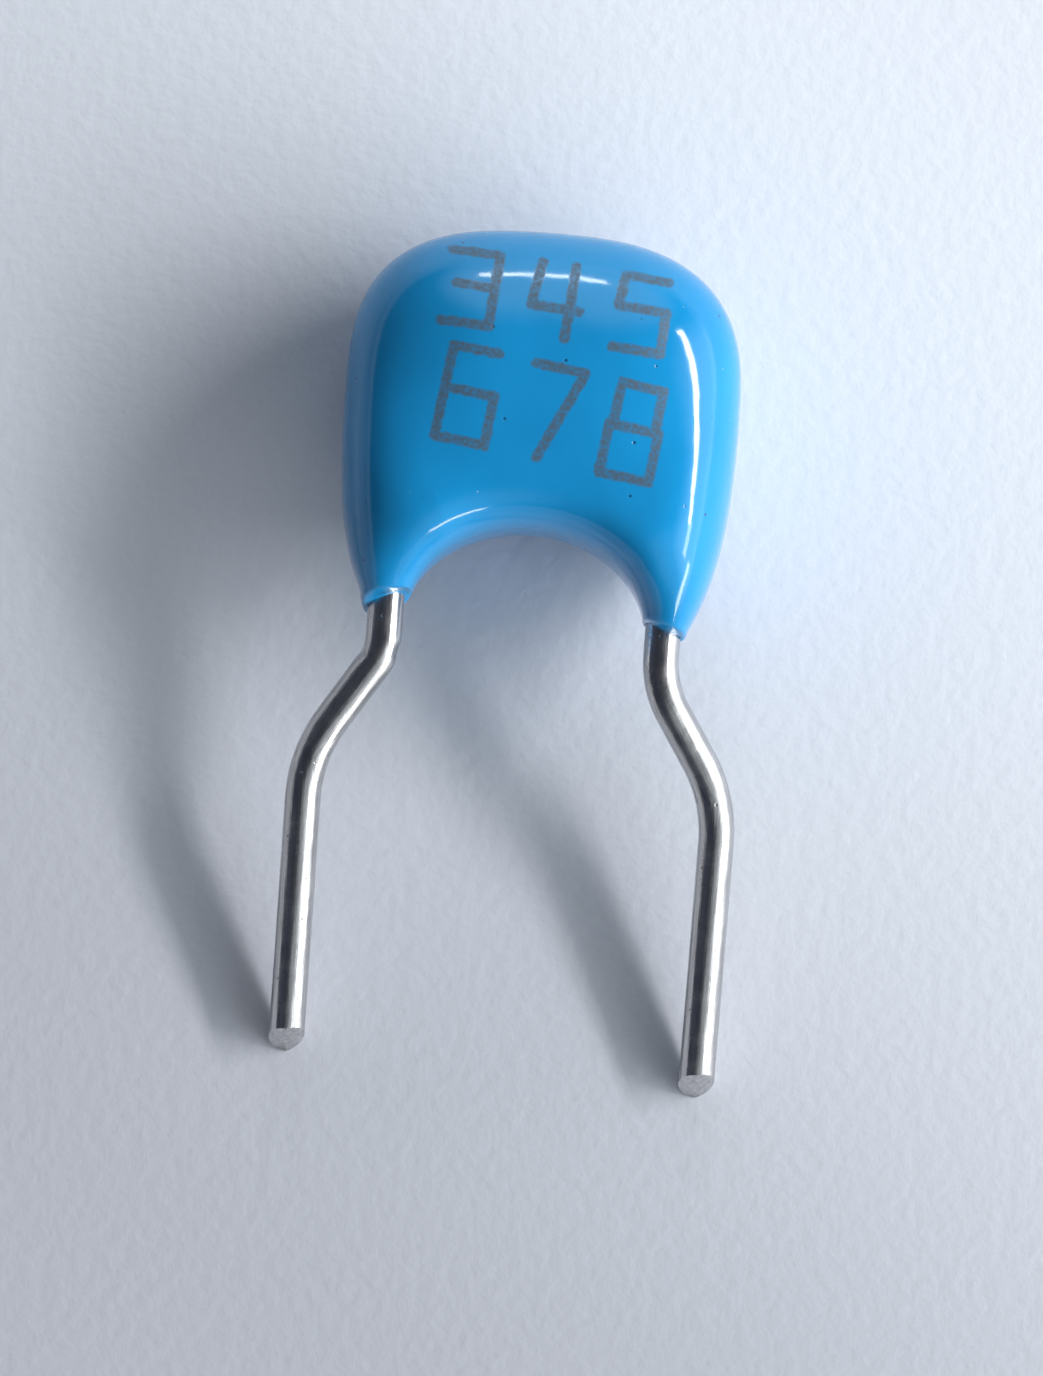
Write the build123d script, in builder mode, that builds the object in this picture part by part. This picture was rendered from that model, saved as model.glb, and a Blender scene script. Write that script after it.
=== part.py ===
from build123d import *
from math import atan2, cos, radians, sin
import os

# Resin-dipped metal oxide varistor with two formed leads, lying on its back.
# Millimetres. +Z is up, +X is to the right and +Y points from the leads to
# the far end of the body. The origin is on the surface the part lies on,
# under the middle of its bounding box.

# Resin coat, seen from the front: superellipse arcs that meet at the crown and at
# the widest place. Left is -1 and right is 1, and the dip left them a little unlike.
HALF_WIDTH = {-1: 3.545, 1: 3.605}
ROUNDNESS = {-1: 2.9, 1: 2.7}
CROWN_RISE = 3.03
SIDE_DROP = {-1: 5.1, 1: 5.5}
BODY_THICKNESS = 4.2
EDGE_RADIUS = 1.6

# Arch between the legs of the coat: half an ellipse
ARCH_HALF_WIDTH = 2.15
ARCH_RISE = 1.75
ARCH_Y = -4.18

# The coat is drawn as rounded sections that turn about the arch, from leg to leg
RIM_END_ANGLE = 133.5
LEG_ANGLE = {-1: 79.0, 1: 86.0}
SECTIONS_PER_LEG = 9
LEG_END_THICKNESS = 1.8
TAPER_START = 0.3
MOST_ROUNDED = 0.49

# Sintered block and its silver layers
CHIP_WIDTH = 5.6
CHIP_LENGTH = 4.3
CHIP_CENTRE_Y = 0.25
CHIP_THICKNESS = 2.0
CHIP_CORNER = 1.3
SILVER_THICKNESS = 0.05
SILVER_INSET = 0.35

# Leads
WIRE_RADIUS = 0.325
BODY_PITCH = 5.0
PIN_PITCH = 7.5
SHOULDER_Y = -4.75
KINK_Y = -6.68
TIP_Y = {-1: -12.25, 1: -12.54}
LEAD_DROP = {-1: 0.0, 1: 0.25}
JOG_RADIUS = 0.5
SHOULDER_RADIUS = {-1: 0.8, 1: 1.6}
KINK_RADIUS = 2.9
SOLDERED_END = (0.9, 1.1)
SOLDERED_FOOT = (1.65, -2.0)
JOG_END_Y = -3.2

# The cutter leaves each tip slanted, longest on its lower side
TIP_CUT_LEAN = 45.0
TIP_CUT_BACK = 0.03

# Solder mounds, as shares of the way from a lead's end to where it leaves the silver
SOLDER_START = 0.1
SOLDER_END = 0.55
SOLDER_WIDTH = 1.35
SOLDER_HEIGHT = 0.5
SOLDER_TAPER = 20.0

# Rest: the leads are bent back, so the arch end of the body is raised
BODY_TILT = 4.0


def rest_frame():
    """The body's own plane: its origin is the middle of the body's width and thickness."""
    tilt = radians(BODY_TILT)
    rim_centre_y = CROWN_RISE - EDGE_RADIUS
    rim_centre_z = BODY_THICKNESS / 2 - EDGE_RADIUS
    height = rim_centre_y * sin(tilt) + rim_centre_z * cos(tilt) + EDGE_RADIUS
    far_end = CROWN_RISE * cos(tilt) + rim_centre_z * sin(tilt)
    return Plane(
        origin=(0, -(far_end + TIP_Y[1]) / 2, height),
        x_dir=(1, 0, 0),
        z_dir=(0, sin(tilt), cos(tilt)),
    )


body = rest_frame()
electrode_z = CHIP_THICKNESS / 2 + SILVER_THICKNESS
soldered_z = electrode_z + WIRE_RADIUS


def arch_point(angle):
    """A point on the arch; angle is 0 at its top and 90 at the end of a leg."""
    turn = radians(angle)
    return Vector(ARCH_HALF_WIDTH * sin(turn), ARCH_Y + ARCH_RISE * cos(turn), 0)


def rim_point(side, angle):
    """A point on the outline; angle is 0 at the crown and 90 at the widest place."""
    turn = radians(angle)
    power = 2 / ROUNDNESS[side]
    across = side * HALF_WIDTH[side] * sin(turn) ** power
    if angle <= 90:
        return Vector(across, CROWN_RISE * cos(turn) ** power, 0)
    return Vector(across, -SIDE_DROP[side] * abs(cos(turn)) ** power, 0)


def coat_thickness(share):
    """Full over the body, then a smooth taper down each leg."""
    reach = min(1.0, (1 - share) / (1 - TAPER_START))
    blend = reach * reach * (3 - 2 * reach)
    return LEG_END_THICKNESS + (BODY_THICKNESS - LEG_END_THICKNESS) * blend


def coat_section(side, share):
    """Plane, length, thickness and corner radius of the section at a share of one leg."""
    leg_turn = radians(LEG_ANGLE[side])
    rim_share = sin(leg_turn * share) / sin(leg_turn)
    inner = body.from_local_coords(arch_point(side * share * LEG_ANGLE[side]))
    outer = body.from_local_coords(rim_point(side, RIM_END_ANGLE * rim_share))
    across = outer - inner
    plane = Plane(
        origin=(inner + outer) / 2, x_dir=across, z_dir=across.cross(body.z_dir)
    )
    thickness = coat_thickness(share)
    radius = min(EDGE_RADIUS, MOST_ROUNDED * across.length, MOST_ROUNDED * thickness)
    return plane, across.length, thickness, radius


def lead_points(side, face):
    """Corners of a lead's centreline, from its soldered end to its tip."""
    drop = LEAD_DROP[side]
    end_x, end_y = SOLDERED_END
    foot_x, foot_y = SOLDERED_FOOT
    half_body = side * BODY_PITCH / 2
    half_pins = side * PIN_PITCH / 2
    inside = [
        (side * end_x, end_y, face * soldered_z),
        (side * foot_x, foot_y, face * soldered_z),
        (half_body, JOG_END_Y, 0),
        (half_body, SHOULDER_Y - drop, 0),
    ]
    points = [body.from_local_coords(Vector(*point)) for point in inside]
    shoulder = points[-1]
    tip_y = body.origin.Y + TIP_Y[side]
    kink_y = body.origin.Y + KINK_Y - drop
    slope = atan2(shoulder.Z - WIRE_RADIUS, shoulder.Y - tip_y)
    tip = Vector(half_pins, tip_y, WIRE_RADIUS * cos(slope))
    share = (kink_y - shoulder.Y) / (tip.Y - shoulder.Y)
    kink = Vector(half_pins, kink_y, shoulder.Z + share * (tip.Z - shoulder.Z))
    return points + [kink, tip]


def make_lead(points, side):
    """Round wire swept along straight runs and bend arcs, with a slanted cut at its tip."""
    tip = points[-1]
    run = (tip - points[-2]).normalized()
    up = run.cross(Vector(1, 0, 0))
    lean = radians(TIP_CUT_LEAN)
    cut = Plane(
        origin=tip - up * WIRE_RADIUS - run * TIP_CUT_BACK,
        z_dir=run * cos(lean) + up * sin(lean),
    )
    radii = [JOG_RADIUS, JOG_RADIUS, SHOULDER_RADIUS[side], KINK_RADIUS]
    with BuildPart() as lead:
        with BuildLine() as route:
            FilletPolyline(*points, radius=radii)
        with BuildSketch(Plane(route.line @ 0, z_dir=route.line % 0)):
            Circle(WIRE_RADIUS)
        sweep()
        split(bisect_by=cut, keep=Keep.BOTTOM)
    return lead


left_points = lead_points(-1, 1)
right_points = lead_points(1, -1)

left_lead = make_lead(left_points, -1)
left_lead.part.label = "left_lead"

right_lead = make_lead(right_points, 1)
right_lead.part.label = "right_lead"

with BuildPart() as ceramic_element:
    with BuildSketch(body.offset(-CHIP_THICKNESS / 2)):
        with Locations((0, CHIP_CENTRE_Y)):
            RectangleRounded(CHIP_WIDTH, CHIP_LENGTH, CHIP_CORNER)
    extrude(amount=CHIP_THICKNESS)
ceramic_element.part.label = "ceramic_element"


def make_electrode(face):
    """Silver layer on one face of the block: face is 1 for front, -1 for back."""
    inset = 2 * SILVER_INSET
    with BuildPart() as electrode:
        with BuildSketch(body.offset(face * CHIP_THICKNESS / 2)):
            with Locations((0, CHIP_CENTRE_Y)):
                RectangleRounded(
                    CHIP_WIDTH - inset, CHIP_LENGTH - inset, CHIP_CORNER - SILVER_INSET
                )
        extrude(amount=face * SILVER_THICKNESS)
    return electrode


front_electrode = make_electrode(1)
front_electrode.part.label = "front_electrode"

back_electrode = make_electrode(-1)
back_electrode.part.label = "back_electrode"


def make_solder(side, face, lead):
    """Mound of solder over the soldered end of one lead."""
    end = Vector(side * SOLDERED_END[0], SOLDERED_END[1])
    run = Vector(side * SOLDERED_FOOT[0], SOLDERED_FOOT[1]) - end
    first = end + run * SOLDER_START
    last = end + run * SOLDER_END
    with BuildPart() as solder:
        with BuildSketch(body.offset(face * electrode_z)):
            SlotCenterPoint((first + last) / 2, last, SOLDER_WIDTH)
        extrude(amount=face * SOLDER_HEIGHT, taper=SOLDER_TAPER)
        add(lead.part, mode=Mode.SUBTRACT)
    return solder


front_solder = make_solder(-1, 1, left_lead)
front_solder.part.label = "front_solder"

back_solder = make_solder(1, -1, right_lead)
back_solder.part.label = "back_solder"

coated = [
    ceramic_element,
    front_electrode,
    back_electrode,
    left_lead,
    right_lead,
    front_solder,
    back_solder,
]

with BuildPart() as resin_coating:
    for step in range(-SECTIONS_PER_LEG, SECTIONS_PER_LEG + 1):
        side = -1 if step < 0 else 1
        plane, length, thickness, radius = coat_section(side, abs(step) / SECTIONS_PER_LEG)
        with BuildSketch(plane):
            RectangleRounded(length, thickness, radius)
    loft()
    for piece in coated:
        add(piece.part, mode=Mode.SUBTRACT)
resin_coating.part.label = "resin_coating"

os.makedirs("parts", exist_ok=True)
for piece in [resin_coating] + coated:
    export_step(piece.part, f"parts/{piece.part.label}.step")
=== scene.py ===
"""Looks of a resin-dipped varistor with formed wire leads, lying on its back on white paper."""

from math import atan2, cos, pi, radians, sin, tan

import bmesh
import bpy
from mathutils import Euler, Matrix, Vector


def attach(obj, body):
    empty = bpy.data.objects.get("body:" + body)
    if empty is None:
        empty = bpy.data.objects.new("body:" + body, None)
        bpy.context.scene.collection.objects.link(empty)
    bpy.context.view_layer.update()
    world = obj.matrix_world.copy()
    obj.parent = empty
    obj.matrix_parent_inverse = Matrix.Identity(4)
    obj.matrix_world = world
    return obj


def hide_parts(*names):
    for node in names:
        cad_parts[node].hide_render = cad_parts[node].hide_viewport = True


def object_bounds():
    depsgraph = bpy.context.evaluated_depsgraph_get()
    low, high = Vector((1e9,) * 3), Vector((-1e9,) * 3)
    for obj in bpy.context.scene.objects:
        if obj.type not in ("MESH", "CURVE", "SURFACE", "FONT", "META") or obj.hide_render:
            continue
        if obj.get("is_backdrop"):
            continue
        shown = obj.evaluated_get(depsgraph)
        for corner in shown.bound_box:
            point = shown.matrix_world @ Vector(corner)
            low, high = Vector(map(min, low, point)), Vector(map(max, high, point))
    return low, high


MM = 0.001

# Resin coat, in the body's own plane: lengths in millimetres and angles in degrees.
# Left is -1 and right is 1.
HALF_WIDTH = {-1: 3.545, 1: 3.605}
ROUNDNESS = {-1: 2.9, 1: 2.7}
CROWN_RISE = 3.03
SIDE_DROP = {-1: 5.1, 1: 5.5}
BODY_THICKNESS = 4.2
EDGE_RADIUS = 1.6
BODY_TILT = 4.0
ARCH_HALF_WIDTH = 2.15
ARCH_RISE = 1.75
ARCH_Y = -4.18
RIM_END_ANGLE = 133.5
LEG_ANGLE = {-1: 79.0, 1: 86.0}
LEG_END_THICKNESS = 1.8
TAPER_START = 0.5

# The coat is drawn as rings that turn about the arch. Its height rises from its edges:
# over a wide soft edge along the rim and a narrow one along the arch. Fullness is the
# power of that rise, and the droop lowers the coat a little beside the arch.
SECTIONS_PER_LEG = 18
LAST_SECTION = 0.9
RING_POINTS = 48
RIM_EDGE = 3.0
RIM_EDGE_SHARE = 0.52
ARCH_EDGE = 1.0
ARCH_EDGE_SHARE = 0.45
RIM_FULLNESS = 2.35
ARCH_FULLNESS = 3.4
LEG_FULLNESS = 2.4
ARCH_DROOP = 0.05
RISE_STEPS = 24
SMALLEST = 0.001
WAVE_SIZE = 1.8
WAVE_HEIGHT = 0.012

# The end of the coat on a lead: how far down it comes, and how much further on its
# outer side and in front
LIP_Y = {-1: -3.87, 1: -4.03}
LIP_OUTER_LEAN = {-1: -0.15, 1: -0.115}
LIP_FRONT_LEAN = {-1: 0.155, 1: 0.02}
LIP_WOBBLE = 0.02
LIP_RADIUS = 0.342
LIP_UNDER_RADIUS = 0.30
LIP_ROUNDING = (0.96, 0.85, 0.65, 0.4)

# Leads: lengths in millimetres and angles in degrees
WIRE_RADIUS = 0.325
WIRE_POINTS = 32
WIRE_STEP = 0.1
BODY_PITCH = 5.0
PIN_PITCH = 7.5
SHOULDER_Y = -4.75
KINK_Y = -6.68
TIP_Y = {-1: -12.25, 1: -12.54}
LEAD_DROP = {-1: 0.0, 1: 0.25}
JOG_RADIUS = 0.5
SHOULDER_RADIUS = {-1: 0.8, 1: 1.6}
KINK_RADIUS = 2.9
BEND_STEPS = 14
SOLDERED_Z = 1.375
SOLDERED_END = (0.9, 1.1)
SOLDERED_FOOT = (1.65, -2.0)
JOG_END_Y = -3.2
TIP_CUT_LEAN = 45.0
TIP_CUT_BACK = 0.03

# The cutter's two blades leave a roof on each tip: lean of its left and right slope
TIP_ROOF = {-1: (5.0, 17.0), 1: (4.0, 15.0)}
TIP_EDGE = 0.012
TIP_EDGE_ANGLE = 20.0
SMOOTH_ANGLE = 40.0
MERGE_GAP = 0.0001

# Nips left in the wire by the forming tool: side, place in the body's plane, push, reach
NIPS = (
    (-1, (-2.18, -4.75, 0.05), (-0.05, 0.0, 0.0), 0.16),
    (-1, (-2.86, -4.82, 0.05), (0.04, 0.01, 0.0), 0.14),
    (1, (2.95, -6.40, 0.0), (0.05, 0.0, -0.01), 0.2),
)
NIP_SPREAD = 1.6

tilt = radians(BODY_TILT)
rim_centre_y = CROWN_RISE - EDGE_RADIUS
rim_centre_z = BODY_THICKNESS / 2 - EDGE_RADIUS
far_end = CROWN_RISE * cos(tilt) + rim_centre_z * sin(tilt)
BODY_Y = -(far_end + TIP_Y[1]) / 2
BODY_Z = rim_centre_y * sin(tilt) + rim_centre_z * cos(tilt) + EDGE_RADIUS
BODY_CENTRE = Vector((0, BODY_Y, BODY_Z))
BODY_TURN = Euler((-tilt, 0, 0))

# Plain figures in two rows on the front: each is a list of strokes in a cell 1 wide
# and FIGURE_TALL tall
FIGURE_TALL = 1.6
STROKES = {
    "3": ((0, 1.6), (1, 1.6), (1, 0), (0, 0), None, (0.2, 0.84), (1, 0.84)),
    "4": ((0.1, 1.6), (0, 0.62), (1, 0.62), None, (0.8, 1.6), (0.8, 0)),
    "5": ((0.95, 1.6), (0.05, 1.6), (0, 0.9), (1, 0.9), (1, 0), (0, 0)),
    "6": ((0.9, 1.6), (0, 1.6), (0, 0), (1, 0), (1, 0.86), (0, 0.86)),
    "7": ((0, 1.6), (1, 1.6), (0.4, 0)),
    "8": ((0.08, 0.86), (0.08, 1.6), (0.92, 1.6), (0.92, 0.86), (1, 0.86), (1, 0), (0, 0),
          (0, 0.86), (1, 0.86)),
}
# Each row: figures, middle of the first, step to the next, cell width and height, turn
MARK_ROWS = (
    ("345", (-1.40, 1.74), (1.54, -0.13), 0.86, 1.35, -5.0),
    ("678", (-1.28, -0.22), (1.48, -0.22), 0.90, 1.65, -8.0),
)
MARK_STROKE = 0.17
MARK_FADE_OUT = 0.035
MARK_FADE_IN = 0.025
MARK_RAGGED = 0.015

# The paper: its side in metres; its colours, painted lighter towards the window and
# painted shade away from it; the way that the painted shade runs, and how far from the
# middle, in millimetres
PAPER_SIZE = 1.5
PAPER_PAINTED_LIT = (0.80, 0.835, 0.90, 1)
PAPER_PAINTED_SHADE = (0.47, 0.48, 0.53, 1)
PAPER_SHADE_RUN = (0.62, 0.8, 0.0)
PAPER_SHADE_REACH = 13.0

# Lamps, at one distance in metres: name, azimuth and elevation, width and height as
# angles, and radiance
LAMP_DISTANCE = 0.3
LAMPS = (
    ("window", 20, 33, 38, 6, 32),
    ("window_edge", -16, 29, 26, 8, 8),
    ("low_window", -49, 13, 44, 7, 12),
    ("small_window", 91, 21, 12, 3.5, 18),
)

# The room, as radiance: plain colours by height, and soft glows, each with its
# azimuth, elevation, full and outer angle, and strength
HORIZON_TOP = 0.16
CEILING_START = 0.95
HORIZON_COLOUR = (0.55, 0.57, 0.60, 1)
WALL_COLOUR = (0.05, 0.06, 0.09, 1)
CEILING_COLOUR = (0.04, 0.045, 0.06, 1)
GLOWS = (
    (-6, 8, 24, 54, 2.2),
    (84, 28, 6, 34, 1.3),
    (-50, 34, 14, 46, 0.5),
)
GLOW_TINT = (0.90, 0.98, 1.0)

# The camera: lengths in metres, its turn in degrees and its sensor's width in millimetres
CAMERA_DISTANCE = 0.16
CAMERA_NEAR = 0.005
CAMERA_TURN = 4.3
SENSOR_WIDTH = 36
FRAME_HEIGHT = 24.77 * MM
LOOK_AT = Vector((0.04, BODY_Y - 5.20, BODY_Z)) * MM


def on_body(point):
    """A point of the body's own plane, in millimetres, as a place in the frame, in metres."""
    turned = Vector(point)
    turned.rotate(BODY_TURN)
    return (turned + BODY_CENTRE) * MM


def new_piece(name):
    """An empty mesh object at the origin, in edit mode, with nothing else selected."""
    bpy.ops.object.select_all(action="DESELECT")
    bpy.ops.mesh.primitive_circle_add(vertices=3, radius=MM)
    piece = bpy.context.object
    piece.name = name
    piece.data.name = name
    bpy.ops.object.mode_set(mode="EDIT")
    bpy.ops.mesh.delete(type="VERT")
    return piece


def apply_modifier(piece, kind, **values):
    """Adds a modifier with its values and applies it."""
    modifier = piece.modifiers.new(kind.title(), kind)
    for key, value in values.items():
        setattr(modifier, key, value)
    bpy.context.view_layer.objects.active = piece
    bpy.ops.object.modifier_apply(modifier=modifier.name)


def arch_point(angle):
    """A point on the arch; angle is 0 at its top and 90 at the end of a leg."""
    turn = radians(angle)
    return Vector((ARCH_HALF_WIDTH * sin(turn), ARCH_Y + ARCH_RISE * cos(turn), 0))


def rim_point(side, angle):
    """A point on the outline; angle is 0 at the crown and 90 at the widest place."""
    turn = radians(angle)
    power = 2 / ROUNDNESS[side]
    reach = CROWN_RISE if angle <= 90 else -SIDE_DROP[side]
    return Vector((side * HALF_WIDTH[side] * sin(turn) ** power, reach * abs(cos(turn)) ** power, 0))


def coat_thickness(share):
    """Full over the body, then a smooth taper down each leg."""
    reach = min(1.0, (1 - share) / (1 - TAPER_START))
    blend = reach * reach * (3 - 2 * reach)
    return LEG_END_THICKNESS + (BODY_THICKNESS - LEG_END_THICKNESS) * blend


def fuller(value, fullness):
    """A sine or cosine drawn out, so that its curve has fuller shoulders than a circle's."""
    sign = 1 if value >= 0 else -1
    return sign * abs(value) ** (2 / fullness)


def rim_gap(side, spot):
    """How far inside the outline a spot is."""
    power = ROUNDNESS[side]
    reach = CROWN_RISE if spot.y >= 0 else SIDE_DROP[side]
    across, along = abs(spot.x) / HALF_WIDTH[side], abs(spot.y) / reach
    gauge = max((across ** power + along ** power) ** (1 / power), SMALLEST)
    slope = Vector((
        (across / gauge) ** (power - 1) / HALF_WIDTH[side],
        (along / gauge) ** (power - 1) / reach,
    ))
    return (1 - gauge) / slope.length


def arch_gap(spot):
    """How far outside the arch a spot is."""
    across, along = spot.x / ARCH_HALF_WIDTH, (spot.y - ARCH_Y) / ARCH_RISE
    gauge = (across ** 2 + along ** 2) ** 0.5
    slope = Vector((across / ARCH_HALF_WIDTH, along / ARCH_RISE)) / gauge
    return (gauge - 1) / slope.length


def edge_rise(gap, width, fullness):
    """Share of the full height at a gap from an edge that is as wide as given."""
    left = 1 - min(max(gap, 0.0), width) / width
    return (1 - left ** fullness) ** (1 / fullness)


def coat_section(side, share):
    """The section at a share of one leg, as a function from angle to place."""
    leg_turn = radians(LEG_ANGLE[side])
    rim_share = sin(leg_turn * share) / sin(leg_turn)
    inner = arch_point(side * share * LEG_ANGLE[side])
    outer = rim_point(side, RIM_END_ANGLE * rim_share)
    length = (outer - inner).length
    half_thickness = coat_thickness(share) / 2
    leg_part = share ** 3
    rim_width = min(RIM_EDGE, RIM_EDGE_SHARE * length)
    arch_width = min(ARCH_EDGE, ARCH_EDGE_SHARE * length)
    rim_fullness = RIM_FULLNESS + (LEG_FULLNESS - RIM_FULLNESS) * leg_part
    arch_fullness = ARCH_FULLNESS + (LEG_FULLNESS - ARCH_FULLNESS) * leg_part

    def rise(spot):
        from_rim = edge_rise(rim_gap(side, spot), rim_width, rim_fullness)
        from_arch = edge_rise(arch_gap(spot), arch_width, arch_fullness)
        return from_rim * from_arch

    fullest = max(rise(inner.lerp(outer, step / RISE_STEPS)) for step in range(1, RISE_STEPS))

    def place(turn):
        along = 0.5 + 0.5 * fuller(cos(turn), RIM_FULLNESS)
        spot = inner.lerp(outer, along)
        droop = ARCH_DROOP / (1 + max(0.0, arch_gap(spot)) ** 2)
        height = half_thickness * rise(spot) / fullest * (1 - droop)
        if abs(sin(turn)) < SMALLEST:
            height = 0.0
        return spot + Vector((0, 0, height if sin(turn) > 0 else -height))

    return place


def coat_lip(side, radius, back=0.0):
    """The coat's last edge, close round a lead and lower on its outer side."""

    def place(turn):
        out, front = cos(turn), sin(turn)
        lean = LIP_OUTER_LEAN[side] * out + LIP_FRONT_LEAN[side] * front
        wobble = LIP_WOBBLE * sin(3 * turn)
        return Vector((
            side * (BODY_PITCH / 2 + radius * out),
            LIP_Y[side] + lean + wobble + back,
            radius * front,
        ))

    return place


def coat_end_rings(side):
    """Rings from the lip round a lead to the last full section, in that order."""
    last = coat_section(side, LAST_SECTION)
    lip = coat_lip(side, LIP_RADIUS)
    rings = [coat_lip(side, LIP_UNDER_RADIUS, back=LIP_WOBBLE), lip]
    for run in LIP_ROUNDING:
        narrowing = 1 - (1 - run * run) ** 0.5

        def place(turn, run=run, narrowing=narrowing):
            start, end = last(turn), lip(turn)
            mixed = start.lerp(end, narrowing)
            mixed.y = start.y + (end.y - start.y) * run
            return mixed

        rings.append(place)
    return rings


def add_ring(place):
    """A circle in edit mode whose points are moved to place(angle)."""
    bpy.ops.mesh.select_all(action="DESELECT")
    bpy.ops.mesh.primitive_circle_add(vertices=RING_POINTS, radius=1)
    mesh = bmesh.from_edit_mesh(bpy.context.object.data)
    for vertex in mesh.verts:
        if vertex.select:
            vertex.co = on_body(place(atan2(vertex.co.y, vertex.co.x)))
    bmesh.update_edit_mesh(bpy.context.object.data)


def select_between(piece, first, last):
    """Selects the points numbered from first up to last, in edit mode."""
    bpy.ops.mesh.select_all(action="DESELECT")
    mesh = bmesh.from_edit_mesh(piece.data)
    mesh.verts.ensure_lookup_table()
    for vertex in mesh.verts[first:last]:
        vertex.select = True
    mesh.select_flush(True)
    bmesh.update_edit_mesh(piece.data)


def dip_coat():
    """The resin: a pillow bent round the arch, whose legs run down over the leads."""
    piece = new_piece("dip_coat")
    bpy.ops.mesh.select_mode(type="VERT")
    rings = coat_end_rings(-1)
    for step in range(-SECTIONS_PER_LEG, SECTIONS_PER_LEG + 1):
        side = -1 if step < 0 else 1
        rings.append(coat_section(side, LAST_SECTION * abs(step) / SECTIONS_PER_LEG))
    rings += reversed(coat_end_rings(1))
    for place in rings:
        add_ring(place)
    for ring in range(len(rings) - 1):
        start = ring * RING_POINTS
        select_between(piece, start, start + 2 * RING_POINTS)
        bpy.ops.mesh.bridge_edge_loops()
    for start in (0, (len(rings) - 1) * RING_POINTS):
        select_between(piece, start, start + RING_POINTS)
        bpy.ops.mesh.edge_face_add()
        bpy.ops.mesh.inset(thickness=WIRE_RADIUS * MM / 2)
    bpy.ops.mesh.select_all(action="SELECT")
    bpy.ops.mesh.normals_make_consistent(inside=False)
    bpy.ops.object.mode_set(mode="OBJECT")
    apply_modifier(piece, "SUBSURF", levels=2, render_levels=2)
    soften(piece, WAVE_SIZE * MM, WAVE_HEIGHT * MM)
    bpy.ops.object.shade_smooth()
    return piece


def soften(piece, size, height):
    """Low, soft waves left by the dip, as real shape."""
    clouds = bpy.data.textures.new(piece.name + "_waves", "CLOUDS")
    clouds.noise_scale = size
    clouds.noise_depth = 1
    apply_modifier(piece, "DISPLACE", texture=clouds, strength=height, mid_level=1.0,
                   texture_coords="LOCAL")


def lead_corners(side, face):
    """Corners of a lead's centreline, in metres, from its soldered end to its tip."""
    drop = LEAD_DROP[side]
    half_body = side * BODY_PITCH / 2
    half_pins = side * PIN_PITCH / 2 * MM
    corners = [
        on_body((side * SOLDERED_END[0], SOLDERED_END[1], face * SOLDERED_Z)),
        on_body((side * SOLDERED_FOOT[0], SOLDERED_FOOT[1], face * SOLDERED_Z)),
        on_body((half_body, JOG_END_Y, 0)),
        on_body((half_body, SHOULDER_Y - drop, 0)),
    ]
    shoulder = corners[-1]
    tip_y = (BODY_Y + TIP_Y[side]) * MM
    kink_y = (BODY_Y + KINK_Y - drop) * MM
    slope = atan2(shoulder.z - WIRE_RADIUS * MM, shoulder.y - tip_y)
    tip = Vector((half_pins, tip_y, WIRE_RADIUS * MM * cos(slope)))
    share = (kink_y - shoulder.y) / (tip.y - shoulder.y)
    kink = Vector((half_pins, kink_y, shoulder.z + share * (tip.z - shoulder.z)))
    return corners + [kink, tip]


def formed_lead(name, side, face):
    """Round wire drawn run by run: each run is extruded and each bend is spun."""
    corners = lead_corners(side, face)
    radii = [JOG_RADIUS * MM, JOG_RADIUS * MM, SHOULDER_RADIUS[side] * MM, KINK_RADIUS * MM]
    piece = new_piece(name)
    run = (corners[1] - corners[0]).normalized()
    bpy.ops.mesh.primitive_circle_add(
        vertices=WIRE_POINTS,
        radius=WIRE_RADIUS * MM,
        fill_type="NGON",
        location=corners[0],
        rotation=run.to_track_quat("Z", "X").to_euler(),
    )
    place = corners[0]
    for index, radius in enumerate(radii):
        corner, after = corners[index + 1], corners[index + 2]
        run = (corner - place).normalized()
        turned = (after - corner).normalized()
        turn = run.angle(turned)
        bend_start = corner - run * radius * tan(turn / 2)
        extrude_run(place, bend_start)
        axis = run.cross(turned).normalized()
        centre = bend_start + axis.cross(run) * radius
        bpy.ops.mesh.spin(steps=BEND_STEPS, angle=-turn, center=centre, axis=axis)
        place = corner + turned * radius * tan(turn / 2)
    extrude_run(place, corners[-1])
    for nip_side, centre, push, reach in NIPS:
        if nip_side == side:
            press_nip(piece, on_body(centre), Vector(push) * MM, reach * MM)
    cut_tip(side, corners[-1], (corners[-1] - corners[-2]).normalized())
    bpy.ops.mesh.select_all(action="SELECT")
    bpy.ops.mesh.normals_make_consistent(inside=False)
    bpy.ops.object.mode_set(mode="OBJECT")
    apply_modifier(piece, "BEVEL", width=TIP_EDGE * MM, segments=2, limit_method="ANGLE",
                   angle_limit=radians(TIP_EDGE_ANGLE))
    straighten(piece, corners)
    bpy.ops.object.shade_smooth_by_angle(angle=radians(SMOOTH_ANGLE))
    return piece


def extrude_run(start, end):
    """Extrudes the selected end of the wire in short steps."""
    steps = max(1, round((end - start).length / (WIRE_STEP * MM)))
    for step in range(steps):
        bpy.ops.mesh.extrude_region_move(
            TRANSFORM_OT_translate={"value": (end - start) / steps}
        )


def press_nip(piece, centre, push, reach):
    """Presses a small flat into the wire near a point."""
    mesh = bmesh.from_edit_mesh(piece.data)
    for vertex in mesh.verts:
        closeness = 1 - (vertex.co - centre).length / (reach * NIP_SPREAD)
        if closeness > 0:
            vertex.co += push * min(1.0, closeness * 2) ** 2
    bmesh.update_edit_mesh(piece.data)


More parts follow.
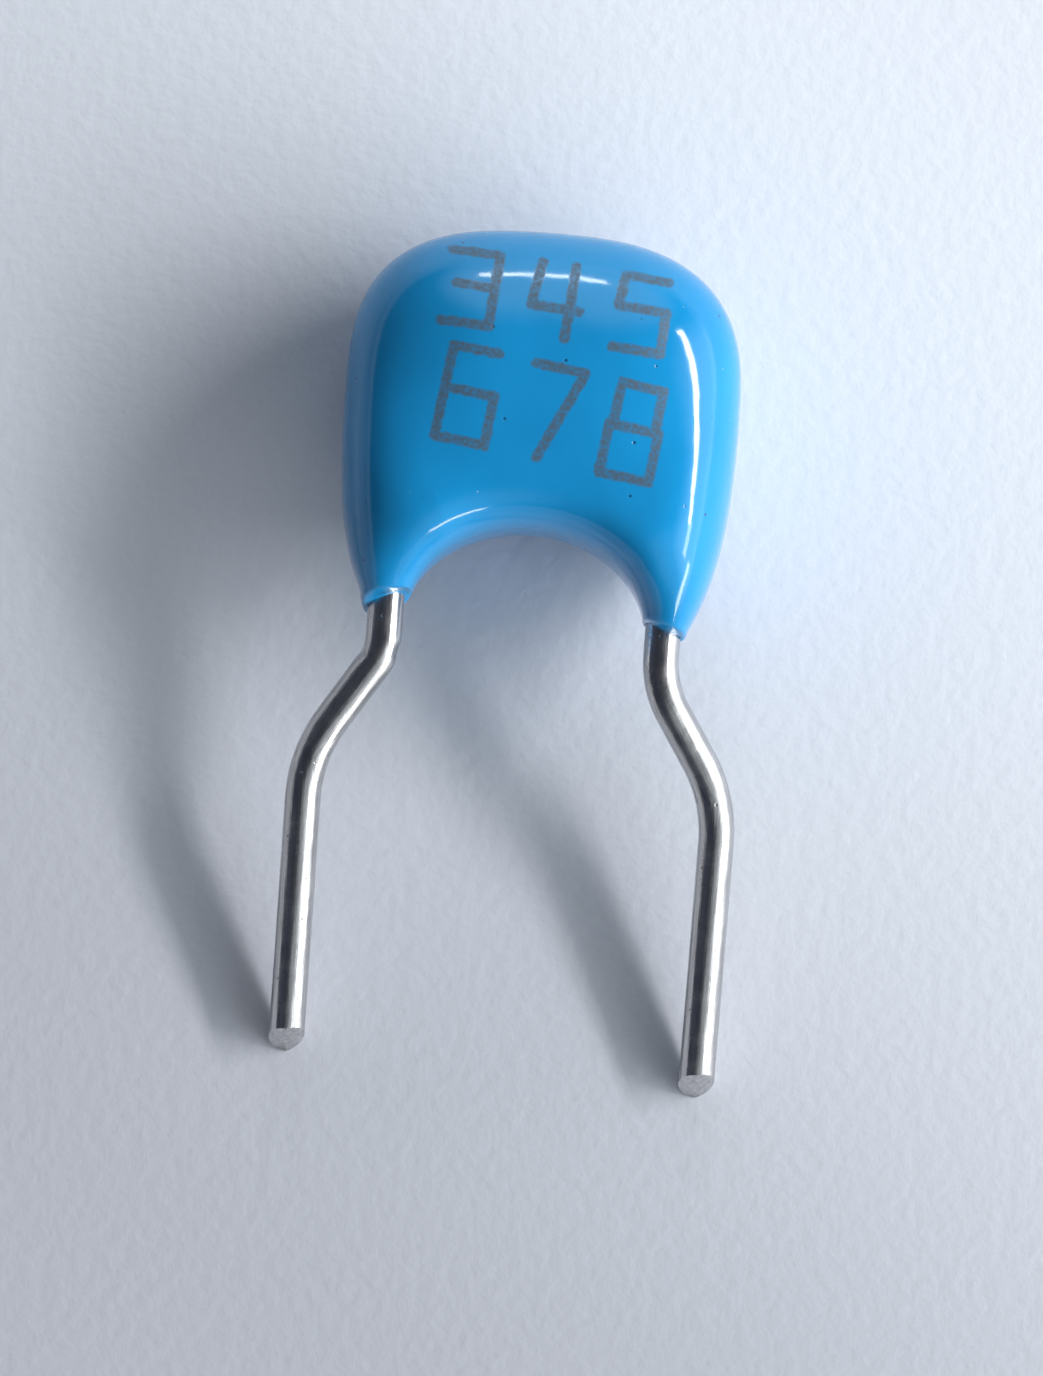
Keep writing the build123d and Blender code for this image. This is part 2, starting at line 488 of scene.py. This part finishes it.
def cut_tip(side, tip, run):
    """The cutter's slanted cut, longest on the lower side, with a slope to each hand."""
    up = run.cross(Vector((1, 0, 0)))
    lean = radians(TIP_CUT_LEAN)
    facing = run * cos(lean) + up * sin(lean)
    for hand, roof in zip((-1, 1), TIP_ROOF[side]):
        bpy.ops.mesh.select_all(action="SELECT")
        bpy.ops.mesh.bisect(
            plane_co=tip - (up * WIRE_RADIUS + run * TIP_CUT_BACK) * MM,
            plane_no=facing * cos(radians(roof)) + Vector((hand * sin(radians(roof)), 0, 0)),
            use_fill=True,
            clear_outer=True,
            threshold=MERGE_GAP * MM,
        )


def straighten(piece, corners):
    """Stores each point's place as if the wire were straight, for patterns drawn along it."""
    strand = piece.data.attributes.new("strand", "FLOAT_VECTOR", "POINT")
    starts, length = [], 0.0
    for start, end in zip(corners, corners[1:]):
        starts.append((start, (end - start).normalized(), (end - start).length, length))
        length += (end - start).length
    for vertex in piece.data.vertices:
        nearest = None
        for start, run, reach, before in starts:
            along = min(reach, max(0.0, (vertex.co - start).dot(run)))
            offset = vertex.co - start - run * along
            if nearest is None or offset.length < nearest[0].length:
                nearest = (offset, run, before + along)
        offset, run, along = nearest
        sideways = run.cross(Vector((0, 0, 1))).normalized()
        upwards = sideways.cross(run)
        place = (offset.dot(sideways), offset.dot(upwards), along)
        strand.data[vertex.index].vector = Vector(place) / MM


def add_node(tree, kind, **settings):
    """A shader node with its settings."""
    made = tree.nodes.new("ShaderNode" + kind)
    for key, value in settings.items():
        setattr(made, key, value)
    return made


def new_group(name, inputs, output):
    """An empty node group with its sockets; returns its tree and its two end nodes."""
    group = bpy.data.node_groups.new(name, "ShaderNodeTree")
    for socket_name, kind, value in inputs:
        socket = group.interface.new_socket(socket_name, in_out="INPUT", socket_type=kind)
        socket.default_value = value
    group.interface.new_socket(output, in_out="OUTPUT", socket_type="NodeSocketFloat")
    return group, group.nodes.new("NodeGroupInput"), group.nodes.new("NodeGroupOutput")


def stroke_distance_group():
    """How far a point is from the line between two others, or from an earlier line."""
    group, given, result = new_group("stroke_distance", (
        ("Position", "NodeSocketVector", (0, 0, 0)),
        ("Start", "NodeSocketVector", (0, 0, 0)),
        ("End", "NodeSocketVector", (1, 0, 0)),
        ("Earlier", "NodeSocketFloat", 100.0),
    ), "Distance")
    link = group.links.new
    from_start = add_node(group, "VectorMath", operation="SUBTRACT")
    stroke = add_node(group, "VectorMath", operation="SUBTRACT")
    overlap = add_node(group, "VectorMath", operation="DOT_PRODUCT")
    square = add_node(group, "VectorMath", operation="DOT_PRODUCT")
    share = add_node(group, "Math", operation="DIVIDE", use_clamp=True)
    nearest = add_node(group, "VectorMath", operation="SCALE")
    gap = add_node(group, "VectorMath", operation="DISTANCE")
    least = add_node(group, "Math", operation="MINIMUM")
    link(given.outputs["Position"], from_start.inputs[0])
    link(given.outputs["Start"], from_start.inputs[1])
    link(given.outputs["End"], stroke.inputs[0])
    link(given.outputs["Start"], stroke.inputs[1])
    link(from_start.outputs[0], overlap.inputs[0])
    link(stroke.outputs[0], overlap.inputs[1])
    link(stroke.outputs[0], square.inputs[0])
    link(stroke.outputs[0], square.inputs[1])
    link(overlap.outputs["Value"], share.inputs[0])
    link(square.outputs["Value"], share.inputs[1])
    link(stroke.outputs[0], nearest.inputs[0])
    link(share.outputs[0], nearest.inputs["Scale"])
    link(from_start.outputs[0], gap.inputs[0])
    link(nearest.outputs[0], gap.inputs[1])
    link(gap.outputs["Value"], least.inputs[0])
    link(given.outputs["Earlier"], least.inputs[1])
    link(least.outputs[0], result.inputs["Distance"])
    return group


def specks_group():
    """A mask of small round specks, one at most in each cell of the given number per mm."""
    group, given, result = new_group("specks", (
        ("Position", "NodeSocketVector", (0, 0, 0)),
        ("Cells", "NodeSocketFloat", 4.0),
        ("Size", "NodeSocketFloat", 0.3),
        ("Share", "NodeSocketFloat", 0.3),
    ), "Mask")
    link = group.links.new
    cells = add_node(group, "TexVoronoi")
    near = add_node(group, "MapRange", interpolation_type="SMOOTHSTEP")
    near.inputs["From Min"].default_value = 1.0
    near.inputs["From Max"].default_value = 0.5
    size = add_node(group, "Math", operation="DIVIDE")
    colour = add_node(group, "SeparateColor")
    chosen = add_node(group, "Math", operation="LESS_THAN")
    mask = add_node(group, "Math", operation="MULTIPLY")
    link(given.outputs["Position"], cells.inputs["Vector"])
    link(given.outputs["Cells"], cells.inputs["Scale"])
    link(cells.outputs["Distance"], size.inputs[0])
    link(given.outputs["Size"], size.inputs[1])
    link(size.outputs[0], near.inputs["Value"])
    link(cells.outputs["Color"], colour.inputs[0])
    link(colour.outputs[0], chosen.inputs[0])
    link(given.outputs["Share"], chosen.inputs[1])
    link(near.outputs[0], mask.inputs[0])
    link(chosen.outputs[0], mask.inputs[1])
    link(mask.outputs[0], result.inputs["Mask"])
    return group


def mottle_group():
    """Noise of the given number of waves per mm, spread from Low to High."""
    group, given, result = new_group("mottle", (
        ("Position", "NodeSocketVector", (0, 0, 0)),
        ("Waves", "NodeSocketFloat", 1.0),
        ("Detail", "NodeSocketFloat", 2.0),
        ("Low", "NodeSocketFloat", 0.0),
        ("High", "NodeSocketFloat", 1.0),
    ), "Value")
    link = group.links.new
    noise = add_node(group, "TexNoise")
    spread = add_node(group, "MapRange")
    spread.inputs["From Min"].default_value = 0.3
    spread.inputs["From Max"].default_value = 0.7
    link(given.outputs["Position"], noise.inputs["Vector"])
    link(given.outputs["Waves"], noise.inputs["Scale"])
    link(given.outputs["Detail"], noise.inputs["Detail"])
    link(noise.outputs["Fac"], spread.inputs["Value"])
    link(given.outputs["Low"], spread.inputs["To Min"])
    link(given.outputs["High"], spread.inputs["To Max"])
    link(spread.outputs[0], result.inputs["Value"])
    return group


class Finish:
    """One material: its tree, its Principled shader, and short ways to add its nodes."""

    def __init__(self, name, roughness, metallic=0.0):
        self.material = bpy.data.materials.new(name)
        self.material.use_nodes = True
        self.tree = self.material.node_tree
        self.shader = self.tree.nodes["Principled BSDF"]
        self.shader.inputs["Roughness"].default_value = roughness
        self.shader.inputs["Metallic"].default_value = metallic

    def put(self, value, socket):
        """Links an output to a socket, or fills the socket with a plain value."""
        if isinstance(value, bpy.types.NodeSocket):
            self.tree.links.new(value, socket)
        else:
            socket.default_value = value

    def effect(self, group, output, **values):
        """A shared effect, with its inputs linked or filled."""
        made = self.tree.nodes.new("ShaderNodeGroup")
        made.node_tree = group
        for key, value in values.items():
            self.put(value, made.inputs[key])
        return made.outputs[output]

    def math(self, operation, *values, clamp=False):
        """One step of arithmetic on linked or plain values."""
        made = add_node(self.tree, "Math", operation=operation, use_clamp=clamp)
        for index, value in enumerate(values):
            self.put(value, made.inputs[index])
        return made.outputs[0]

    def blend(self, share, first, second):
        """A colour between two others."""
        made = add_node(self.tree, "Mix", data_type="RGBA")
        self.put(share, made.inputs["Factor"])
        self.put(first, made.inputs[6])
        self.put(second, made.inputs[7])
        return made.outputs[2]

    def place(self, centre=(0, 0, 0), turn=(0, 0, 0), size=(MM, MM, MM)):
        """Object coordinates in millimetres, about a centre and turned with it."""
        coordinates = add_node(self.tree, "TexCoord")
        mapping = add_node(self.tree, "Mapping", vector_type="TEXTURE")
        mapping.inputs["Location"].default_value = centre
        mapping.inputs["Rotation"].default_value = turn
        mapping.inputs["Scale"].default_value = size
        self.tree.links.new(coordinates.outputs["Object"], mapping.inputs["Vector"])
        return mapping.outputs[0]

    def stretch(self, position, scale):
        """A position scaled along each axis."""
        made = add_node(self.tree, "VectorMath", operation="MULTIPLY")
        self.put(position, made.inputs[0])
        made.inputs[1].default_value = scale
        return made.outputs[0]

    def relief(self, height):
        """Bump from a height in millimetres."""
        bump = add_node(self.tree, "Bump")
        bump.inputs["Distance"].default_value = MM
        self.put(height, bump.inputs["Height"])
        self.put(bump.outputs[0], self.shader.inputs["Normal"])


stroke_distance = stroke_distance_group()
specks = specks_group()
mottle = mottle_group()


def figure_strokes():
    """Start and end of each stroke of the two rows of figures, in the body's plane."""
    for figures, first, step, width, height, turn in MARK_ROWS:
        turned = Euler((0, 0, radians(turn)))
        for index, figure in enumerate(figures):
            middle = Vector((first[0] + index * step[0], first[1] + index * step[1], 0))
            corners = STROKES[figure]
            for start, end in zip(corners, corners[1:]):
                if start and end:
                    yield tuple(middle + mark_point(x, y, width, height, turned)
                                for x, y in (start, end))


def mark_point(x, y, width, height, turned):
    """A point of a figure's cell, about the cell's middle, at its size and turn."""
    point = Vector(((x - 0.5) * width, (y / FIGURE_TALL - 0.5) * height, 0))
    point.rotate(turned)
    return point


def printed_figures(finish, position):
    """Mask of the figures printed on the front."""
    flat = finish.stretch(position, (1, 1, 0))
    nearest = 100.0
    for start, end in figure_strokes():
        nearest = finish.effect(stroke_distance, "Distance", Position=flat, Start=start,
                                End=end, Earlier=nearest)
    ragged = finish.effect(mottle, "Value", Position=position, Waves=9.0, Low=-MARK_RAGGED,
                           High=MARK_RAGGED)
    edge = finish.math("ADD", nearest, ragged)
    printed = add_node(finish.tree, "MapRange", interpolation_type="SMOOTHSTEP")
    printed.inputs["From Min"].default_value = MARK_STROKE / 2 + MARK_FADE_OUT
    printed.inputs["From Max"].default_value = MARK_STROKE / 2 - MARK_FADE_IN
    finish.put(edge, printed.inputs["Value"])
    front = add_node(finish.tree, "SeparateXYZ")
    finish.put(position, front.inputs[0])
    above = finish.math("GREATER_THAN", front.outputs["Z"], 0.0)
    return finish.math("MULTIPLY", printed.outputs[0], above)


def blue_resin():
    """Glossy blue epoxy with fine pits, a little dust and grainy grey figures."""
    finish = Finish("blue_resin", 0.1)
    position = finish.place(BODY_CENTRE * MM, BODY_TURN)
    cloud = finish.effect(mottle, "Value", Position=position, Waves=0.5)
    pits = finish.effect(specks, "Mask", Position=position, Cells=3.0, Size=0.12, Share=0.25)
    dust = finish.effect(specks, "Mask", Position=position, Cells=5.0, Size=0.09, Share=0.04)
    figures = printed_figures(finish, position)
    grain = finish.effect(mottle, "Value", Position=position, Waves=14.0, Low=0.55, High=1.15)
    shown = finish.math("MULTIPLY", figures, grain, clamp=True)
    colour = finish.blend(cloud, (0.008, 0.240, 0.53, 1), (0.010, 0.270, 0.59, 1))
    colour = finish.blend(pits, colour, (0.006, 0.09, 0.22, 1))
    colour = finish.blend(dust, colour, (0.30, 0.42, 0.50, 1))
    colour = finish.blend(shown, colour, (0.06, 0.11, 0.165, 1))
    finish.put(colour, finish.shader.inputs["Base Color"])
    smudge = finish.effect(mottle, "Value", Position=position, Waves=0.9, Low=0.08, High=0.13)
    rough = finish.math("MULTIPLY_ADD", shown, 0.35, smudge)
    finish.put(rough, finish.shader.inputs["Roughness"])
    peel = finish.effect(mottle, "Value", Position=position, Waves=2.2, Detail=1.0, High=0.0022)
    finish.relief(finish.math("MULTIPLY_ADD", pits, -0.006, peel))
    return finish.material


def tinned_wire():
    """Bright tin on drawn steel wire: fine lines along it, dull patches and small pits."""
    finish = Finish("tinned_wire", 0.2, metallic=1.0)
    strand = add_node(finish.tree, "Attribute", attribute_name="strand").outputs["Vector"]
    lengthwise = finish.stretch(strand, (1, 1, 0.06))
    lines = finish.effect(mottle, "Value", Position=lengthwise, Waves=14.0)
    patches = finish.effect(mottle, "Value", Position=strand, Waves=2.5, Detail=4.0)
    pits = finish.effect(specks, "Mask", Position=strand, Cells=5.0, Size=0.16, Share=0.3)
    colour = finish.blend(lines, (0.48, 0.465, 0.47, 1), (0.68, 0.665, 0.66, 1))
    colour = finish.blend(pits, colour, (0.30, 0.29, 0.29, 1))
    finish.put(colour, finish.shader.inputs["Base Color"])
    rough = finish.math("MULTIPLY_ADD", patches, 0.12, 0.2)
    finish.put(rough, finish.shader.inputs["Roughness"])
    height = finish.math("MULTIPLY", lines, 0.0025)
    height = finish.math("MULTIPLY_ADD", patches, 0.004, height)
    height = finish.math("MULTIPLY_ADD", pits, -0.008, height)
    finish.relief(height)
    return finish.material


def fired_silver():
    """Dull pale silver paste, fired on."""
    finish = Finish("fired_silver", 0.45, metallic=1.0)
    position = finish.place()
    tone = finish.effect(mottle, "Value", Position=position, Waves=6.0)
    colour = finish.blend(tone, (0.62, 0.61, 0.59, 1), (0.78, 0.77, 0.74, 1))
    finish.put(colour, finish.shader.inputs["Base Color"])
    finish.relief(finish.math("MULTIPLY", tone, 0.004))
    return finish.material


def zinc_oxide():
    """Grey-green sintered ceramic with a fine grain."""
    finish = Finish("zinc_oxide", 0.6)
    position = finish.place()
    grain = finish.effect(specks, "Mask", Position=position, Cells=12.0, Size=0.4, Share=0.5)
    colour = finish.blend(grain, (0.10, 0.12, 0.10, 1), (0.16, 0.18, 0.15, 1))
    finish.put(colour, finish.shader.inputs["Base Color"])
    finish.relief(finish.math("MULTIPLY", grain, 0.003))
    return finish.material


def solder():
    """Smooth, slightly wrinkled solder."""
    finish = Finish("solder", 0.28, metallic=1.0)
    position = finish.place()
    wrinkle = finish.effect(mottle, "Value", Position=position, Waves=4.0)
    colour = finish.blend(wrinkle, (0.55, 0.55, 0.56, 1), (0.68, 0.68, 0.68, 1))
    finish.put(colour, finish.shader.inputs["Base Color"])
    finish.relief(finish.math("MULTIPLY", wrinkle, 0.01))
    return finish.material


def paper_finish():
    """White copy paper with a faint tooth, and painted shade: greyer away from the window."""
    finish = Finish("paper", 0.9)
    position = finish.place()
    tooth = finish.effect(mottle, "Value", Position=position, Waves=3.5, Detail=4.0)
    across = add_node(finish.tree, "VectorMath", operation="DOT_PRODUCT")
    finish.put(position, across.inputs[0])
    across.inputs[1].default_value = PAPER_SHADE_RUN
    shade = add_node(finish.tree, "MapRange", interpolation_type="SMOOTHSTEP")
    shade.inputs["From Min"].default_value = -PAPER_SHADE_REACH
    shade.inputs["From Max"].default_value = PAPER_SHADE_REACH
    finish.put(across.outputs["Value"], shade.inputs["Value"])
    # Painted shade: the paper is coloured darker away from the window and lighter towards it, as if
    # its light fell off
    colour = finish.blend(shade.outputs[0], PAPER_PAINTED_SHADE, PAPER_PAINTED_LIT)
    colour = finish.blend(finish.math("MULTIPLY", tooth, 0.04), colour, (0.5, 0.5, 0.55, 1))
    finish.put(colour, finish.shader.inputs["Base Color"])
    finish.relief(finish.math("MULTIPLY", tooth, 0.006))
    return finish.material


def put_material(piece, made):
    """Gives a piece one material in place of those it has."""
    piece.data.materials.clear()
    piece.data.materials.append(made)


def softbox(name, azimuth, elevation, wide, tall, radiance):
    """An area lamp aimed at the part, its size given as angles; azimuth 90 is +Y."""
    turn, rise = radians(azimuth), radians(elevation)
    away = Vector((cos(turn) * cos(rise), sin(turn) * cos(rise), sin(rise)))
    bpy.ops.object.light_add(type="AREA", location=away * LAMP_DISTANCE)
    lamp = bpy.context.object
    lamp.name = name
    lamp.rotation_euler = away.to_track_quat("Z", "Y").to_euler()
    lamp.data.shape = "RECTANGLE"
    lamp.data.size = 2 * LAMP_DISTANCE * tan(radians(wide / 2))
    lamp.data.size_y = 2 * LAMP_DISTANCE * tan(radians(tall / 2))
    lamp.data.energy = radiance * pi * lamp.data.size * lamp.data.size_y


def glow(tree, direction, azimuth, elevation, full, gone, strength):
    """A soft patch of the room's light: full within one angle of its middle, gone past another."""
    turn, rise = radians(azimuth), radians(elevation)
    near = add_node(tree, "VectorMath", operation="DOT_PRODUCT")
    near.inputs[1].default_value = (cos(turn) * cos(rise), sin(turn) * cos(rise), sin(rise))
    patch = add_node(tree, "MapRange", interpolation_type="SMOOTHSTEP")
    patch.inputs["From Min"].default_value = cos(radians(gone))
    patch.inputs["From Max"].default_value = cos(radians(full))
    patch.inputs["To Max"].default_value = strength
    tree.links.new(direction, near.inputs[0])
    tree.links.new(near.outputs["Value"], patch.inputs["Value"])
    return patch.outputs[0]


def room():
    """Dim overhead, bright on the window's side and pale at the horizon."""
    world = bpy.data.worlds.new("room")
    world.use_nodes = True
    tree = world.node_tree
    direction = add_node(tree, "TexCoord").outputs["Generated"]
    parts = add_node(tree, "SeparateXYZ")
    shade = add_node(tree, "ValToRGB")
    shade.color_ramp.elements[0].position = HORIZON_TOP / 2
    shade.color_ramp.elements[0].color = HORIZON_COLOUR
    shade.color_ramp.elements[1].position = HORIZON_TOP
    shade.color_ramp.elements[1].color = WALL_COLOUR
    shade.color_ramp.elements.new(CEILING_START).color = CEILING_COLOUR
    tree.links.new(direction, parts.inputs[0])
    tree.links.new(parts.outputs["Z"], shade.inputs[0])
    lit = shade.outputs[0]
    for azimuth, elevation, full, gone, strength in GLOWS:
        patch = glow(tree, direction, azimuth, elevation, full, gone, strength)
        tinted = add_node(tree, "VectorMath", operation="SCALE")
        tinted.inputs[0].default_value = GLOW_TINT
        added = add_node(tree, "VectorMath", operation="ADD")
        tree.links.new(patch, tinted.inputs["Scale"])
        tree.links.new(lit, added.inputs[0])
        tree.links.new(tinted.outputs[0], added.inputs[1])
        lit = added.outputs[0]
    tree.links.new(lit, tree.nodes["Background"].inputs["Color"])
    bpy.context.scene.world = world


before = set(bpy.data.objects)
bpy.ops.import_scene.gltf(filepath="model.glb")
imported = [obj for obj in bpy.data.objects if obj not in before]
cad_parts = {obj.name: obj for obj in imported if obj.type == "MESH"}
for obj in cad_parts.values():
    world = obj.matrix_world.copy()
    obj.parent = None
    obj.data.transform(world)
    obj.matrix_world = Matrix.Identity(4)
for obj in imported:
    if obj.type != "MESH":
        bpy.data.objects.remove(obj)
cad_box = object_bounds()

coat = dip_coat()
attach(coat, "root")
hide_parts("resin_coating")
put_material(coat, blue_resin())

wire_finish = tinned_wire()
for lead_name, lead_side, lead_face in (("left_lead", -1, 1), ("right_lead", 1, -1)):
    lead = formed_lead(lead_name + "_wire", lead_side, lead_face)
    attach(lead, "root")
    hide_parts(lead_name)
    put_material(lead, wire_finish)

silver_finish, solder_finish = fired_silver(), solder()
put_material(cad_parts["ceramic_element"], zinc_oxide())
for face in ("front", "back"):
    put_material(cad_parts[face + "_electrode"], silver_finish)
    put_material(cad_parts[face + "_solder"], solder_finish)

bpy.ops.object.select_all(action="DESELECT")
bpy.ops.mesh.primitive_plane_add(size=PAPER_SIZE)
paper = bpy.context.object
paper.name = "paper"
put_material(paper, paper_finish())
paper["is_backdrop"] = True

for lamp_values in LAMPS:
    softbox(*lamp_values)
room()

# The camera looks straight down, turned as the photograph is
bpy.ops.object.camera_add(
    location=LOOK_AT + Vector((0, 0, CAMERA_DISTANCE)), rotation=(0, 0, radians(CAMERA_TURN))
)
camera = bpy.context.object
camera.data.sensor_width = SENSOR_WIDTH
camera.data.lens = SENSOR_WIDTH * CAMERA_DISTANCE / FRAME_HEIGHT
camera.data.clip_start = CAMERA_NEAR
bpy.context.scene.camera = camera
bpy.context.scene.view_settings.view_transform = "Standard"

sizes = {"cad": cad_box, "visual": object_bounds()}
{key: [list(corner) for corner in box] for key, box in sizes.items()}
